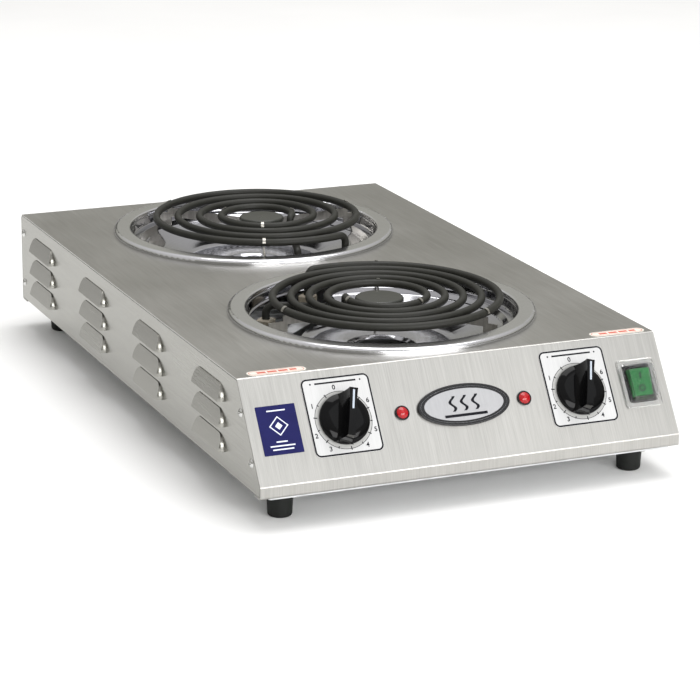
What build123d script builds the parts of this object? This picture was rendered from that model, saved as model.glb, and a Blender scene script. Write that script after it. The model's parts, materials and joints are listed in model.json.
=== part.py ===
from build123d import *
import math
import os

# Countertop double hot plate: two tubular coil burners one behind the other on a
# low stainless housing with a slanted control panel. Millimetres, +X right,
# +Y to the rear, +Z up, origin on the supporting surface under the middle.

# ---- driving dimensions: housing ------------------------------------------------
WIDTH = 355.6
DEPTH = 609.6
TOP_Z = 106.0
BODY_BOTTOM_Z = 24.6
STRIP_TOP_Z = 34.4
SLOPE_RUN = 48.6
SHEET = 1.2
TOP_BEND_R = 2.6
REAR_BEND_R = 5.0
SMALL_BEND_R = 2.0
BOTTOM_LIP = 12.0
SEAM = 0.4
SIDE_FLANGE = 12.0
BOTTOM_PLATE_HALF_X = 170.0
BOTTOM_PLATE_INSET = 2.0

# ---- driving dimensions: burners -------------------------------------------------
RING_OUTER_R = 126.6
RING_INNER_R = 111.0
RING_RISE = 4.6
RING_SHEET = 0.8
BOWL_SHEET = 0.8
BOWL_FLANGE_R = 118.0
TOP_HOLE_R = 113.0
BOWL_DEPTH = 29.0
BOWL_DRAIN_R = 25.0
COIL_Z = TOP_Z + 11.9
TUBE_R = 3.25
OUTER_BEND_R = 7.0
INNER_BEND_R = 5.0
LEG_END_Z = TOP_Z - 20.0
DISC_R = 20.0
DISC_RIM = 3.5
ARM_OVERHANG = 3.0
ARM_SHEET = 1.2
ARM_HEIGHT = 8.0
TERMINAL_TOP_Z = TOP_Z - 9.6
TERMINAL_SIZE = 13.0
TERMINAL_HEIGHT = 22.0

# ---- driving dimensions: control panel --------------------------------------------
KNOB_X = 100.5
KNOB_V = 44.7
KNOB_R = 20.0
KNOB_HEIGHT = 23.0
KNOB_REST_TURN = -15.0
KNOB_WING_HALF = 18.6
SHAFT_R = 3.0
RUNNING_GAP = 0.06
PLATE_X = 100.7
PLATE_V = 48.6
PLATE_W = 56.3
PLATE_H = 62.4
PLATE_T = 0.4
LAMP_X = 52.0
LAMP_V = 44.4
BADGE_V = 45.0
ROCKER_X = 153.8
ROCKER_V = 45.3

# ---- driving dimensions: louvres, feet and fasteners ---------------------------------
LOUVRE_Y = (-196.8, -53.8, 90.2, 237.2)
LOUVRE_LIP_DROP = (25.5, 46.0, 66.0)
LOUVRE_CREST = 43.0
LOUVRE_END = 9.5
LOUVRE_HEIGHT = 13.5
LOUVRE_PROUD = 5.0
LOUVRE_ROOT = 0.6
LOUVRE_FULLNESS = 1.6
FOOT_X = 150.0
FOOT_Y = (-273.8, 275.2)
FOOT_TOP_R = 10.75
FOOT_BOTTOM_R = 9.5
BOTTOM_SCREW_X = (-148.0, 0.0, 148.0)
BOTTOM_SCREW_Y = 298.6
SCREW_R = 1.9
SCREW_HOLE_R = 2.1
SCREW_HEAD_R = 3.6

# ---- smaller sizes ---------------------------------------------------------------------
WRAP_FLANGE = 15.0
WRAP_FLANGE_GAP = 0.3
SIDE_SCREW_REAR_INSET = 7.0
SIDE_SCREW_REAR_DROP = (17.0, 64.0)
SIDE_SCREW_FRONT_INSET = 7.5
SIDE_SCREW_FRONT_ALONG = (22.0, 62.0)
LOUVRE_SHEET = 1.0
VENT_LENGTH = 40.0
VENT_WIDTH = 5.0
VENT_ROWS = 5
VENT_PITCH = 16.0
FOOT_RECESS_R = 5.0
FOOT_RECESS_DEPTH = 9.0
FOOT_NAMES = ("front_left", "front_right", "rear_left", "rear_right")
BOWL_STEP_R = 104.0
BOWL_OPENING_OUTER_R = 108.0
BOWL_OPENING_INNER_R = 66.0
HUB_R = 8.0
ARM_FOOT_Z = -7.6
CLIP_WIDTH = 2.6
BUSHING_R = 4.8
BUSHING_TOP = 4.4
SHAFT_TAIL = 12.0
SHAFT_TOP = 15.0
SWITCH_W = 34.0
SWITCH_DEPTH = 30.0
KNOB_GAP = 1.2
KNOB_HOLLOW_R = 8.6
WING_BASE_HALF = 8.5
WING_WAIST_HALF = 5.0
WING_CREST_HALF = 3.2
POINTER_WIDTH = 1.5
POINTER_LENGTH = 15.0
POINTER_SINK = 0.4
LAMP_BODY_R = 4.0
LAMP_BEZEL_R = 5.9
LAMP_LENS_R = 4.6
LAMP_DOME = 2.2
BADGE_W = 78.0
BADGE_H = 34.0
BADGE_RISE = 2.2
BADGE_RIM = 2.4
BADGE_STUD_X = 26.0
BADGE_STUD_R = 1.4
ROCKER_BODY_W = 20.6
ROCKER_BODY_H = 28.4
ROCKER_BODY_DEPTH = 20.0
ROCKER_WELL = 7.0
ROCKER_W = 17.4
ROCKER_H = 22.0
ROCKER_PIVOT_H = -1.0
ROCKER_PIN_R = 1.5
ROCKER_LOW_H = 2.6
ROCKER_HIGH_H = 6.0
COVER_FLANGE_W = 31.4
COVER_FLANGE_H = 39.2
COVER_FLANGE_T = 2.0
COVER_BASE_W = 26.4
COVER_BASE_H = 34.0
COVER_TOP_W = 22.6
COVER_TOP_H = 28.4
COVER_RISE = 9.4
COVER_WALL = 0.9
LABEL_X = -153.0
LABEL_V = 43.2
LABEL_W = 32.0
LABEL_H = 38.8
LABEL_T = 0.25
TOP_LABEL_X = (-143.0, 149.0)
TOP_LABEL_Y = -248.6
TOP_LABEL_W = 48.0
TOP_LABEL_D = 11.0
CORD_X = -110.0
CORD_Z = 52.0
CORD_NECK_R = 9.5
CORD_BORE_R = 5.2
CORD_HEAD_R = 13.0
CORD_HEAD_T = 3.93
SUPPLY_Y = 268.0
GROUND_X = -62.0
BAFFLE_Y = -241.0
BAFFLE_W = 326.0
BAFFLE_TOP = 98.0
WIRE_X = (-128.0, -122.0, 122.0, 128.0)
WIRE_Z = 31.0
WIRE_R = 1.6

# ---- worked out from the above --------------------------------------------------------
FRONT_Y = -DEPTH / 2
REAR_Y = DEPTH / 2
SLOPE_TOP_Y = FRONT_Y + SLOPE_RUN
PANEL_RISE = TOP_Z - STRIP_TOP_Z
PANEL_ANGLE = math.atan2(PANEL_RISE, SLOPE_RUN)
PANEL_NORMAL = (0, -math.sin(PANEL_ANGLE), math.cos(PANEL_ANGLE))
PANEL = Plane(origin=(0, FRONT_Y, STRIP_TOP_Z), x_dir=(1, 0, 0), z_dir=PANEL_NORMAL)
INNER_X = WIDTH / 2 - SHEET
BOTTOM_PLATE_Z = BODY_BOTTOM_Z - SHEET

# The two burners differ in pitch, in the way the coil is turned in its ring and in
# how far the coil and its hub sit off the middle of the ring. Angles are degrees
# from +X, seen from above; shifts are (x, y) from the middle of the ring.
BURNERS = {
    "front": {
        "centre": (0.0, -121.1),
        "coil_shift": (-1.5, -1.0),
        "hub_shift": (-2.0, 0.0),
        "pitch": 14.9,
        "outer_r": 103.0,
        "outer_az": 99.0,
        "first_arc": 9.0,
        "sweep": 279.0 + 4 * 360.0 + 18.0,
        "inner_leg": (95.0, 153.0),
        "arm_az": -52.0,
        "opening": (91.0, 180.0),
    },
    "rear": {
        "centre": (0.0, 168.2),
        "coil_shift": (12.4, 2.5),
        "hub_shift": (8.0, 1.0),
        "pitch": 19.5,
        "outer_r": 99.0,
        "outer_az": -70.0,
        "first_arc": 110.0,
        "sweep": 3 * 360.0 + 325.0,
        "inner_leg": (95.0, -87.0),
        "arm_az": 130.0,
        "opening": (-101.0, -47.0),
    },
}


# ---- small helpers --------------------------------------------------------------------
def direction(azimuth):
    """Unit vector in the XY plane at an azimuth in degrees."""
    angle = math.radians(azimuth)
    return Vector(math.cos(angle), math.sin(angle), 0)


def on_panel(shape, x, v, h=0.0):
    """Place a shape drawn about the origin at (x, v) on the slanted panel."""
    return PANEL.location * Pos(x, v, h) * shape


def rod(radius, low, high):
    """Round rod on the Z axis from low to high."""
    return Pos(0, 0, (low + high) / 2) * Cylinder(radius, high - low)


def tube(outer, inner, low, high):
    """Round tube on the Z axis."""
    return rod(outer, low, high) - rod(inner, low - 1, high + 1)


def plate(width, height, low, high, corner):
    """Flat plate in XY with rounded corners, from low to high."""
    return Pos(0, 0, low) * extrude(RectangleRounded(width, height, corner), high - low)


def hexagon(across_flats, low, high):
    """Hexagonal prism on the Z axis."""
    radius = across_flats / math.sqrt(3)
    return Pos(0, 0, low) * extrude(RegularPolygon(radius, 6), high - low)


def group(solids):
    """Several separate solids kept as one node."""
    flat = []
    for item in solids:
        flat.extend(item.solids())
    return Compound(flat)


def burner_place(burner):
    """Location of a burner's ring centre on the top sheet."""
    x, y = burner["centre"]
    return Pos(x, y, TOP_Z)


def shifted_centre(burner, key):
    """Middle of the ring moved by one of the burner's shifts."""
    x, y = burner["centre"]
    shift_x, shift_y = burner[key]
    return Vector(x + shift_x, y + shift_y, 0)


# ---- housing ---------------------------------------------------------------------------
def side_outline(inset):
    """Closed side outline of the housing in YZ, inset by a distance."""
    points = [
        (FRONT_Y, BODY_BOTTOM_Z),
        (FRONT_Y, STRIP_TOP_Z),
        (SLOPE_TOP_Y, TOP_Z),
        (REAR_Y, TOP_Z),
        (REAR_Y, BODY_BOTTOM_Z),
    ]
    radii = [SMALL_BEND_R, SMALL_BEND_R, TOP_BEND_R, REAR_BEND_R, SMALL_BEND_R]
    face = make_face(FilletPolyline(*points, radius=radii, close=True))
    if inset:
        face = offset(face, -inset)
    return face


def housing_slab(inset, x_low, x_high):
    """Side outline extruded across the housing between two X positions."""
    side_plane = Plane(origin=(x_low, 0, 0), x_dir=(0, 1, 0), z_dir=(1, 0, 0))
    return side_plane.location * extrude(side_outline(inset), x_high - x_low)


def panel_cutouts():
    """Tools for the openings in the slanted panel."""
    tools = []
    for side in (-1, 1):
        tools.append(on_panel(rod(BUSHING_R + 0.3, -6, 6), side * KNOB_X, KNOB_V))
        tools.append(on_panel(rod(LAMP_BODY_R + 0.15, -6, 6), side * LAMP_X, LAMP_V))
    cutout = plate(ROCKER_BODY_W + 0.4, ROCKER_BODY_H + 0.4, -6, 6, 1.0)
    tools.append(on_panel(cutout, ROCKER_X, ROCKER_V))
    for x in (-BADGE_STUD_X, BADGE_STUD_X):
        tools.append(on_panel(rod(BADGE_STUD_R + 0.15, -6, 6), x, BADGE_V))
    return tools


def side_screw_places():
    """Positions (y, z) of the four screws in each side."""
    places = []
    for drop in SIDE_SCREW_REAR_DROP:
        places.append((REAR_Y - SIDE_SCREW_REAR_INSET, TOP_Z - drop))
    for along in SIDE_SCREW_FRONT_ALONG:
        y = FRONT_Y + along * math.cos(PANEL_ANGLE) + SIDE_SCREW_FRONT_INSET * math.sin(PANEL_ANGLE)
        z = STRIP_TOP_Z + along * math.sin(PANEL_ANGLE) - SIDE_SCREW_FRONT_INSET * math.cos(PANEL_ANGLE)
        places.append((y, z))
    return places


def side_screw_rods(radius):
    """Rods across both sides at every side screw."""
    rods = []
    for side in (-1, 1):
        for y, z in side_screw_places():
            middle = Pos(side * (WIDTH / 2 - 6), y, z)
            rods.append(middle * Rot(0, 90, 0) * Cylinder(radius, 24))
    return rods


def bottom_screw_places():
    """Positions (x, y) of the screws that hold the bottom plate."""
    return [(x, side * BOTTOM_SCREW_Y) for side in (-1, 1) for x in BOTTOM_SCREW_X]


def housing_wrap():
    """Top, slanted front and rear folded from one sheet, with screw flanges."""
    shell = housing_slab(0, -WIDTH / 2, WIDTH / 2) - housing_slab(SHEET, -WIDTH, WIDTH)
    opening_depth = DEPTH - 2 * BOTTOM_LIP
    shell -= Pos(0, 0, BODY_BOTTOM_Z) * Box(WIDTH * 1.1, opening_depth, 8)
    flange_x = INNER_X - WRAP_FLANGE_GAP - SHEET
    for side in (-1, 1):
        low = min(side * flange_x, side * (flange_x + SHEET))
        slab = housing_slab(SHEET / 2, low, low + SHEET)
        core = housing_slab(WRAP_FLANGE, low - 1, low + SHEET + 1)
        keep_rear = Pos(low, REAR_Y - 6, 66) * Box(8, 2 * WRAP_FLANGE, 60)
        keep_front = on_panel(Box(8, 62, 3 * WRAP_FLANGE), low, PLATE_V - 4)
        shell += (slab - core) & (keep_rear + keep_front)
    for burner in BURNERS.values():
        x, y = burner["centre"]
        shell -= Pos(x, y, TOP_Z) * Cylinder(TOP_HOLE_R, 10)
    shell -= panel_cutouts()
    shell -= side_screw_rods(SCREW_HOLE_R)
    for x, y in bottom_screw_places():
        shell -= Pos(x, y, BODY_BOTTOM_Z) * Cylinder(SCREW_HOLE_R, 8)
    shell -= Pos(CORD_X, REAR_Y, CORD_Z) * Rot(90, 0, 0) * Cylinder(CORD_NECK_R + 0.2, 8)
    return shell


def louvre_capsule(shrink):
    """Round-ended bar with a flat sloping face, that a louvre hood is cut from."""
    radius = LOUVRE_HEIGHT
    stretch = LOUVRE_END / LOUVRE_HEIGHT
    length = LOUVRE_CREST / stretch
    bar = Rot(90, 0, 0) * Cylinder(radius, length)
    bar += Pos(0, length / 2, 0) * Sphere(radius)
    bar += Pos(0, -length / 2, 0) * Sphere(radius)
    wide = (LOUVRE_PROUD * LOUVRE_FULLNESS - shrink) / radius
    tall = (LOUVRE_HEIGHT - shrink) / radius
    total = LOUVRE_CREST / 2 + LOUVRE_END
    long = stretch * (total - shrink) / total
    shape = scale(bar, by=(wide, long, tall))
    tilt = math.degrees(math.atan((LOUVRE_PROUD - LOUVRE_ROOT) / LOUVRE_HEIGHT))
    under_slope = Pos(LOUVRE_PROUD - shrink, 0, 0) * Rot(0, -tilt, 0) * Pos(-30, 0, 0) * Box(60, 120, 120)
    return shape & under_slope


def louvre_places():
    """Positions (y, z of the open lip) of the twelve louvres of one side."""
    return [(y, TOP_Z - drop) for y in LOUVRE_Y for drop in LOUVRE_LIP_DROP]


def side_panel(side):
    """Flat side with pressed louvres and folded flanges."""
    low = min(side * WIDTH / 2, side * INNER_X)
    panel = housing_slab(SHEET + SEAM, low, low + SHEET)
    flange_low = min(side * INNER_X, side * (INNER_X - SIDE_FLANGE))
    flange = housing_slab(SHEET + SEAM, flange_low, flange_low + SIDE_FLANGE)
    flange -= housing_slab(2 * SHEET + SEAM, flange_low - 1, flange_low + SIDE_FLANGE + 1)
    bottom_strip = Pos(0, 0, BODY_BOTTOM_Z) * Box(WIDTH * 1.1, DEPTH - 2 * BOTTOM_LIP - 4, 6)
    panel += flange & bottom_strip
    hood = louvre_capsule(0) - louvre_capsule(LOUVRE_SHEET)
    keep_x = LOUVRE_PROUD + 1
    hood &= Pos(keep_x / 2, 0, LOUVRE_HEIGHT / 2 + 1) * Box(keep_x, 80, LOUVRE_HEIGHT + 2)
    slot = louvre_capsule(LOUVRE_SHEET) & (Pos(0, 0, LOUVRE_HEIGHT / 2 + 1) * Box(30, 80, LOUVRE_HEIGHT + 2))
    slot = scale(slot, by=(6, 1, 1))
    turn = 0 if side > 0 else 180
    hoods = []
    slots = []
    for y, z in louvre_places():
        place = Pos(side * (WIDTH / 2 - 0.05), y, z - 1) * Rot(0, 0, turn)
        hoods.append(place * hood)
        slots.append(place * slot)
    panel -= slots
    panel += hoods
    panel -= side_screw_rods(SCREW_HOLE_R)
    return panel


def bottom_plate():
    """Flat bottom under the folded lips, drilled for screws and feet."""
    depth = DEPTH - 2 * BOTTOM_PLATE_INSET
    sheet = plate(2 * BOTTOM_PLATE_HALF_X, depth, BOTTOM_PLATE_Z, BODY_BOTTOM_Z, 2.0)
    for x, y in bottom_screw_places():
        sheet -= Pos(x, y, 0) * rod(SCREW_HOLE_R, 0, 40)
    for x, y in foot_places():
        sheet -= Pos(x, y, 0) * rod(SCREW_HOLE_R, 0, 40)
    slot = plate(VENT_LENGTH, VENT_WIDTH, 0, 40, VENT_WIDTH / 2 - 0.05)
    for burner in BURNERS.values():
        for row in range(VENT_ROWS):
            y = burner["centre"][1] + (row - (VENT_ROWS - 1) / 2) * VENT_PITCH
            for x in (-VENT_LENGTH * 0.7, VENT_LENGTH * 0.7):
                sheet -= Pos(x, y, 0) * slot
    for burner in BURNERS.values():
        for x, y in stand_screw_places(burner):
            sheet -= Pos(x, y, 0) * rod(SCREW_HOLE_R, 0, 40)
    return sheet


def domed_screw(radius, head_rise, shank_length):
    """Domed screw: head above Z = 0 and shank below, with a cross recess."""
    ball_r = (radius ** 2 + head_rise ** 2) / (2 * head_rise)
    head = (Pos(0, 0, head_rise - ball_r) * Sphere(ball_r)) & rod(radius, 0, head_rise + 1)
    for turn in (0, 90):
        head -= Rot(0, 0, turn) * Pos(0, 0, head_rise) * Box(radius * 1.2, 0.9, head_rise)
    return head + rod(SCREW_R, -shank_length, 0.1)


def side_screws():
    """Four domed screws in each side."""
    screws = []
    for side in (-1, 1):
        screw = Rot(0, side * 90, 0) * domed_screw(SCREW_HEAD_R, 2.0, 7.0)
        for y, z in side_screw_places():
            screws.append(Pos(side * WIDTH / 2, y, z) * screw)
    return group(screws)


def bottom_screws():
    """Domed screws under the bottom plate, for its rim and the terminal stands."""
    screw = Rot(180, 0, 0) * domed_screw(SCREW_HEAD_R, 2.2, 6.0)
    places = bottom_screw_places()
    for burner in BURNERS.values():
        places = places + stand_screw_places(burner)
    return group([Pos(x, y, BOTTOM_PLATE_Z) * screw for x, y in places])


def foot_places():
    """Positions (x, y) of the four feet."""
    return [(x, y) for y in FOOT_Y for x in (-FOOT_X, FOOT_X)]


def foot(x, y):
    """Tapered rubber foot with a recess for its screw."""
    body = Cone(FOOT_BOTTOM_R, FOOT_TOP_R, BOTTOM_PLATE_Z)
    body = Pos(0, 0, BOTTOM_PLATE_Z / 2) * body
    body = fillet(body.edges().sort_by(Axis.Z)[0], 2.0)
    body -= rod(FOOT_RECESS_R, -1, FOOT_RECESS_DEPTH)
    body -= rod(SCREW_HOLE_R, -1, 40)
    return Pos(x, y, 0) * body


def foot_screws():
    """Pan-head screws inside the feet."""
    screw = rod(FOOT_RECESS_R - 0.6, FOOT_RECESS_DEPTH - 2.4, FOOT_RECESS_DEPTH)
    screw += rod(SCREW_R, FOOT_RECESS_DEPTH - 0.1, BODY_BOTTOM_Z + 6)
    return group([Pos(x, y, 0) * screw for x, y in foot_places()])


def foot_nuts():
    """Hexagonal nuts that hold the feet from inside."""
    nut = hexagon(7.0, BODY_BOTTOM_Z + 0.02, BODY_BOTTOM_Z + 3.2) - rod(SCREW_R + 0.05, 0, 60)
    return group([Pos(x, y, 0) * nut for x, y in foot_places()])


# ---- burners -----------------------------------------------------------------------------
def sheet_ring(points, radii, thickness):
    """Spun sheet: an open profile in (r, z), thickened to one side and revolved."""
    line = FilletPolyline(*points, radius=radii)
    outline = offset(line, amount=thickness, side=Side.LEFT)
    face = Plane.XZ * make_face(outline.edges())
    return revolve(face, Axis.Z, 360)


def trim_ring(burner):
    """Raised flat band with a rolled outer edge and a turned-down inner edge."""
    points = [
        (RING_OUTER_R, 0.05),
        (RING_OUTER_R, RING_RISE),
        (RING_INNER_R, RING_RISE),
        (RING_INNER_R, BOWL_SHEET + 0.3),
    ]
    return burner_place(burner) * sheet_ring(points, [3.4, 1.8], RING_SHEET)


def drip_bowl(burner):
    """Bright reflector bowl with a stepped wall, a drain hole and a terminal opening."""
    points = [
        (BOWL_FLANGE_R, 0.85),
        (RING_INNER_R - 0.2, 0.85),
        (RING_INNER_R - 1.2, -7.0),
        (BOWL_STEP_R, -8.5),
        (BOWL_STEP_R - 4.0, -13.0),
        (60.0, -BOWL_DEPTH + 2.5),
        (BOWL_DRAIN_R + 4.0, -BOWL_DEPTH),
        (BOWL_DRAIN_R, -BOWL_DEPTH - 2.0),
    ]
    bowl = sheet_ring(points, [1.6, 1.8, 1.6, 4.0, 30.0, 2.0], BOWL_SHEET)
    start, end = burner["opening"]
    wedge = extrude(sector(BOWL_OPENING_OUTER_R, start, end), 60)
    wedge -= rod(BOWL_OPENING_INNER_R, -1, 61)
    bowl -= Pos(0, 0, -40) * wedge
    return burner_place(burner) * bowl


def sector(radius, start, end):
    """Pie-shaped face between two azimuths."""
    first = direction(start) * radius
    middle = direction((start + end) / 2) * radius
    last = direction(end) * radius
    edges = [Line((0, 0), first), ThreePointArc(first, middle, last), Line(last, (0, 0))]
    return make_face(edges)


def coil_arcs(burner):
    """Arcs (centre, radius, start azimuth, swept degrees) of the flat spiral, outside in."""
    centre = shifted_centre(burner, "coil_shift")
    radius = burner["outer_r"]
    azimuth = burner["outer_az"]
    left = burner["sweep"]
    span = burner["first_arc"]
    arcs = []
    while left > 0.01:
        span = min(span, left)
        arcs.append((centre, radius, azimuth, span))
        azimuth -= span
        left -= span
        span = 90.0
        smaller = radius - burner["pitch"] / 4
        centre = centre + direction(azimuth) * (radius - smaller)
        radius = smaller
    return arcs


def lift(point, z):
    """Same plan position at height z."""
    return Vector(point.X, point.Y, z)


def bend(start, incoming, outgoing, radius):
    """Quarter bend from one unit direction to another, and its end point."""
    corner = math.sqrt(0.5)
    middle = start + incoming * (radius * corner) + outgoing * (radius * (1 - corner))
    end = start + (incoming + outgoing) * radius
    return ThreePointArc(start, middle, end), end


def coil_element(burner):
    """Sheathed tube: leg up, flat spiral inwards, run back under the coil, leg down."""
    up = Vector(0, 0, 1)
    down = Vector(0, 0, -1)
    arcs = coil_arcs(burner)
    centre, radius, azimuth, _ = arcs[0]
    outer_end = lift(centre + direction(azimuth) * radius, COIL_Z)
    along = direction(azimuth - 90)
    leg_top = outer_end - (along + up) * OUTER_BEND_R
    path = [Line(lift(leg_top, LEG_END_Z), leg_top)]
    edge, point = bend(leg_top, up, along, OUTER_BEND_R)
    path.append(edge)
    for centre, radius, azimuth, span in arcs:
        middle = lift(centre + direction(azimuth - span / 2) * radius, COIL_Z)
        end = lift(centre + direction(azimuth - span) * radius, COIL_Z)
        path.append(ThreePointArc(point, middle, end))
        point = end
        along = direction(azimuth - span - 90)
    edge, point = bend(point, along, down, INNER_BEND_R)
    path.append(edge)
    leg_r, leg_az = burner["inner_leg"]
    x, y = burner["centre"]
    leg = Vector(x, y, 0) + direction(leg_az) * leg_r
    run = (lift(leg, point.Z) - point).normalized()
    edge, point = bend(point, down, run, INNER_BEND_R)
    path.append(edge)
    run_end = lift(leg, point.Z) - run * OUTER_BEND_R
    path.append(Line(point, run_end))
    edge, point = bend(run_end, run, down, OUTER_BEND_R)
    path.append(edge)
    path.append(Line(point, lift(point, LEG_END_Z)))
    start = Plane(origin=lift(leg_top, LEG_END_Z), z_dir=(0, 0, 1))
    return sweep(start * Circle(TUBE_R), path=Wire(path))


def leg_places(burner):
    """Plan positions of the two terminal legs of a coil."""
    centre, radius, azimuth, _ = coil_arcs(burner)[0]
    outer = centre + direction(azimuth) * radius - direction(azimuth - 90) * OUTER_BEND_R
    leg_r, leg_az = burner["inner_leg"]
    x, y = burner["centre"]
    inner = Vector(x, y, 0) + direction(leg_az) * leg_r
    return [outer, inner]


def turn_radius(burner, azimuth, outermost):
    """Distance from the hub to the outermost or innermost turn at an azimuth."""
    home = shifted_centre(burner, "hub_shift")
    ray = direction(azimuth)
    hits = []
    for centre, radius, start, span in coil_arcs(burner):
        offset_vector = home - centre
        half = offset_vector.dot(ray)
        root = half ** 2 - offset_vector.dot(offset_vector) + radius ** 2
        distance = -half + math.sqrt(root)
        point = home + ray * distance - centre
        swept = (start - math.degrees(math.atan2(point.Y, point.X))) % 360
        if swept <= span:
            hits.append(distance)
    return max(hits) if outermost else min(hits)


def arm_azimuths(burner):
    """Azimuths of the three support arms."""
    return [burner["arm_az"] + turn for turn in (0, 120, 240)]


def coil_spider(burner):
    """Three upright arms under the coil, joined at a hub and footed on the bowl step."""
    top = COIL_Z - TUBE_R - 0.08
    home = shifted_centre(burner, "hub_shift")
    x, y = burner["centre"]
    hub_low = top - ARM_HEIGHT
    spider = Pos(home.X, home.Y, 0) * rod(HUB_R, hub_low, COIL_Z - 0.5)
    for azimuth in arm_azimuths(burner):
        length = turn_radius(burner, azimuth, True) + ARM_OVERHANG
        arm = Pos(length / 2, 0, top - ARM_HEIGHT / 2) * Box(length, ARM_SHEET, ARM_HEIGHT)
        spider += Pos(home.X, home.Y, 0) * Rot(0, 0, azimuth) * arm
        heading = home + direction(azimuth) * length - Vector(x, y, 0)
        foot_r = heading.length
        foot_az = math.degrees(math.atan2(heading.Y, heading.X))
        foot_low = TOP_Z + ARM_FOOT_Z
        reach = BOWL_STEP_R + 2.0 - foot_r
        if reach > 2:
            leg = Pos(foot_r + reach / 2 - 2, 0, (hub_low + 3 + foot_low) / 2)
            strip = leg * Box(reach + 4, ARM_SHEET, hub_low + 3 - foot_low)
            spider += Pos(x, y, 0) * Rot(0, 0, foot_az) * strip
        else:
            leg = Pos(BOWL_STEP_R - 1, 0, (hub_low + 3 + foot_low) / 2)
            strip = leg * Box(6, ARM_SHEET, hub_low + 3 - foot_low)
            spider += Pos(x, y, 0) * Rot(0, 0, foot_az) * strip
    return spider


def coil_clips(burner):
    """Bent tabs over the outermost and innermost turn at each arm."""
    home = shifted_centre(burner, "hub_shift")
    clips = []
    for azimuth in arm_azimuths(burner):
        for outermost in (True, False):
            reach = turn_radius(burner, azimuth, outermost)
            hoop = tube(TUBE_R + 0.9, TUBE_R + 0.3, -CLIP_WIDTH / 2, CLIP_WIDTH / 2)
            hoop -= Pos(0, -TUBE_R, 0) * Box(20, 2 * TUBE_R, 20)
            hoop -= Pos(-10, 0, 0) * Box(20, 40, 20)
            upright = Rot(90, 0, 0) * hoop
            place = Pos(home.X, home.Y, COIL_Z) * Rot(0, 0, azimuth)
            clips.append(place * Pos(reach, 0, 0) * upright)
    return group(clips)


def coil_disc(burner):
    """Shallow cap over the hub in the middle of the coil."""
    home = shifted_centre(burner, "hub_shift")
    points = [(DISC_R, -DISC_RIM), (DISC_R, 0.0), (0.0, 0.6)]
    line = FilletPolyline(*points, radius=[2.0])
    closed = [*line.edges(), Line((0, 0.6), (0, -0.6)), Line((0, -0.6), (DISC_R - 2.6, -1.1))]
    closed.append(Line((DISC_R - 2.6, -1.1), (DISC_R - 1.2, -DISC_RIM)))
    closed.append(Line((DISC_R - 1.2, -DISC_RIM), (DISC_R, -DISC_RIM)))
    face = Plane.XZ * make_face(closed)
    return Pos(home.X, home.Y, COIL_Z + 0.4) * revolve(face, Axis.Z, 360)


def terminal_insulators(burner):
    """Ceramic connector on each leg of the coil."""
    blocks = []
    first, second = leg_places(burner)
    heading = math.degrees(math.atan2(second.Y - first.Y, second.X - first.X))
    for leg in (first, second):
        block = Pos(0, 0, TERMINAL_TOP_Z - TERMINAL_HEIGHT / 2)
        block = block * Box(TERMINAL_SIZE, TERMINAL_SIZE, TERMINAL_HEIGHT)
        block = fillet(block.edges().filter_by(Axis.Z), 2.0)
        block = chamfer(block.edges().group_by(Axis.Z)[-1], 1.0)
        block -= rod(TUBE_R + 0.12, LEG_END_Z - 0.3, TERMINAL_TOP_Z + 1)
        place = Pos(leg.X, leg.Y, 0) * Rot(0, 0, heading)
        blocks.append(place * block)
    return group(blocks)


def stand_frame(burner):
    """Middle point and heading of the terminal stand under the two legs."""
    first, second = leg_places(burner)
    middle = (first + second) * 0.5
    heading = math.degrees(math.atan2(second.Y - first.Y, second.X - first.X))
    return middle, heading, (second - first).length


def stand_screw_places(burner):
    """Positions (x, y) of the two screws that hold a terminal stand."""
    middle, heading, _ = stand_frame(burner)
    return [(p.X, p.Y) for p in (middle + direction(heading) * s for s in (-20, 20))]


def terminal_stand(burner):
    """Bent bracket on the bottom plate that carries the two ceramic connectors."""
    middle, heading, length = stand_frame(burner)
    span = length + TERMINAL_SIZE
    seat_top = TERMINAL_TOP_Z - TERMINAL_HEIGHT
    low = BODY_BOTTOM_Z
    seat = Pos(0, 0, seat_top - SHEET / 2) * Box(span, TERMINAL_SIZE, SHEET)
    web_y = -TERMINAL_SIZE / 2 + SHEET / 2
    web = Pos(0, web_y, (seat_top + low) / 2) * Box(56, SHEET, seat_top - low)
    base = Pos(0, 0, low + SHEET / 2) * Box(56, TERMINAL_SIZE, SHEET)
    stand = seat + web + base
    stand = Pos(middle.X, middle.Y, 0) * Rot(0, 0, heading) * stand
    for x, y in stand_screw_places(burner):
        stand -= Pos(x, y, 0) * rod(SCREW_HOLE_R, 0, 40)
    return stand


# ---- control panel --------------------------------------------------------------------------
def control_switch(side):
    """Infinite control: moulded case, threaded bushing and blade terminals."""
    case = plate(SWITCH_W, SWITCH_W, -SWITCH_DEPTH, -SHEET - 0.05, 2.0)
    case += rod(BUSHING_R, -SHEET - 1, BUSHING_TOP)
    case -= rod(SHAFT_R + RUNNING_GAP, -SHAFT_TAIL - 0.5, BUSHING_TOP + 1)
    for x in (-9, 0, 9):
        for y in (-8, 8):
            case += Pos(x, y, -SWITCH_DEPTH - 3.9) * Box(6.3, 0.8, 8.0)
    return on_panel(case, side * KNOB_X, KNOB_V)


def switch_nuts():
    """Hexagonal nuts that clamp the two control switches."""
    nut = hexagon(13.0, PLATE_T + 0.02, PLATE_T + 2.4) - rod(BUSHING_R + 0.04, 0, 5)
    return group([on_panel(nut, side * KNOB_X, KNOB_V) for side in (-1, 1)])


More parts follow.
